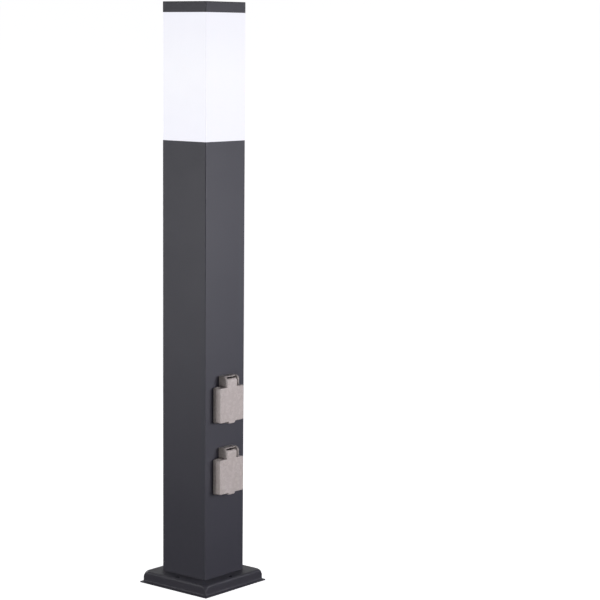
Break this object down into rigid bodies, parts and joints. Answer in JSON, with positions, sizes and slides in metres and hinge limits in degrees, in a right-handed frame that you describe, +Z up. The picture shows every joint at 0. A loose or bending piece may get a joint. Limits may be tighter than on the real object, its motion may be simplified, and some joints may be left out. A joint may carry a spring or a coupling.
{
  "type": "garden socket post",
  "caption": "Square post on a pressed foot with lidded power outlets on one face, a push switch on the next and an opal lamp head under a flat cap.",
  "frame": {"origin": "bottom centre of the foot, on the plane that it stands on", "axes": "+Z up along the post, -Y out of the face that carries the outlets, +X out of the face that carries the switch"},
  "size_m": [0.125, 0.125, 0.807],
  "materials": {
    "post_paint": "fine-textured anthracite powder coat on folded steel",
    "foot_paint": "anthracite powder coat on pressed steel",
    "cap_paint": "anthracite powder coat on a folded cap",
    "opal": "opal acrylic, satin",
    "lid_plastic": "fine-sparked grey thermoplastic",
    "frame_plastic": "moulded dark grey thermoplastic",
    "insert_plastic": "moulded grey thermoplastic",
    "dark_plastic": "moulded black phenolic",
    "pale_plastic": "moulded white thermoplastic",
    "seal_rubber": "moulded black rubber",
    "zinc_steel": "zinc-plated steel",
    "inner_steel": "primed sheet steel",
    "nickel": "bright nickel plate",
    "brass": "bright turned brass",
    "bulb_white": "opal bulb",
    "wire_brown": "extruded brown sheath",
    "wire_blue": "extruded blue sheath",
    "wire_green": "extruded green and yellow sheath"
  },
  "bodies": {
    "post": {"base_plate": "foot_paint", "post_tube": "post_paint", "terminal_bracket": "zinc_steel", "terminal_strip": "pale_plastic", "terminal_screws": "zinc_steel", "strip_screws": "zinc_steel", "cable_clamp": "zinc_steel", "clamp_screws": "zinc_steel", "earth_stud": "brass", "earth_nuts": "brass", "live_wires": "wire_brown", "neutral_wires": "wire_blue", "earth_wires": "wire_green", "lower_flange_seal": "seal_rubber", "lower_frame": "frame_plastic", "lower_insert": "insert_plastic", "lower_earth_clip": "zinc_steel", "lower_contacts": "brass", "lower_contact_block": "dark_plastic", "lower_terminal_screws": "zinc_steel", "lower_centre_screw": "zinc_steel", "lower_rear_cover": "dark_plastic", "lower_frame_screws": "zinc_steel", "lower_hinge_pin": "zinc_steel", "lower_lid_spring": "zinc_steel", "upper_flange_seal": "seal_rubber", "upper_frame": "frame_plastic", "upper_insert": "insert_plastic", "upper_earth_clip": "zinc_steel", "upper_contacts": "brass", "upper_contact_block": "dark_plastic", "upper_terminal_screws": "zinc_steel", "upper_centre_screw": "zinc_steel", "upper_rear_cover": "dark_plastic", "upper_frame_screws": "zinc_steel", "upper_hinge_pin": "zinc_steel", "upper_lid_spring": "zinc_steel", "switch_body": "nickel", "switch_seal": "seal_rubber", "switch_nut": "nickel", "switch_spring": "zinc_steel", "switch_base": "dark_plastic", "switch_tabs": "brass", "head_plate": "inner_steel", "lower_gasket": "seal_rubber", "diffuser": "opal", "upper_gasket": "seal_rubber", "cap": "cap_paint", "cap_frame": "inner_steel", "tie_rods": "zinc_steel", "rod_nuts": "zinc_steel", "cap_screws": "zinc_steel", "lamp_holder": "pale_plastic", "holder_parts": "brass", "bulb": "bulb_white"},
    "lower_lid": {"lower_lid": "lid_plastic", "lower_lid_seal": "seal_rubber"},
    "upper_lid": {"upper_lid": "lid_plastic", "upper_lid_seal": "seal_rubber"},
    "button": {"switch_button": "nickel"}
  },
  "joints": [
    {"name": "lower_lid_hinge", "type": "hinge", "parent": "post", "child": "lower_lid", "pos_m": [0, -0.051, 0.1901], "axis": [-1, 0, 0], "range_deg": [0, 110], "stiffness_Nm_per_rad": 0.02, "springref_deg": -34.38},
    {"name": "upper_lid_hinge", "type": "hinge", "parent": "post", "child": "upper_lid", "pos_m": [0, -0.051, 0.2901], "axis": [-1, 0, 0], "range_deg": [0, 110], "stiffness_Nm_per_rad": 0.02, "springref_deg": -34.38},
    {"name": "button_press", "type": "slide", "parent": "post", "child": "button", "axis": [-1, 0, 0], "range_m": [0, 0.003], "stiffness_N_per_m": 400, "springref_m": -0.001}
  ]
}
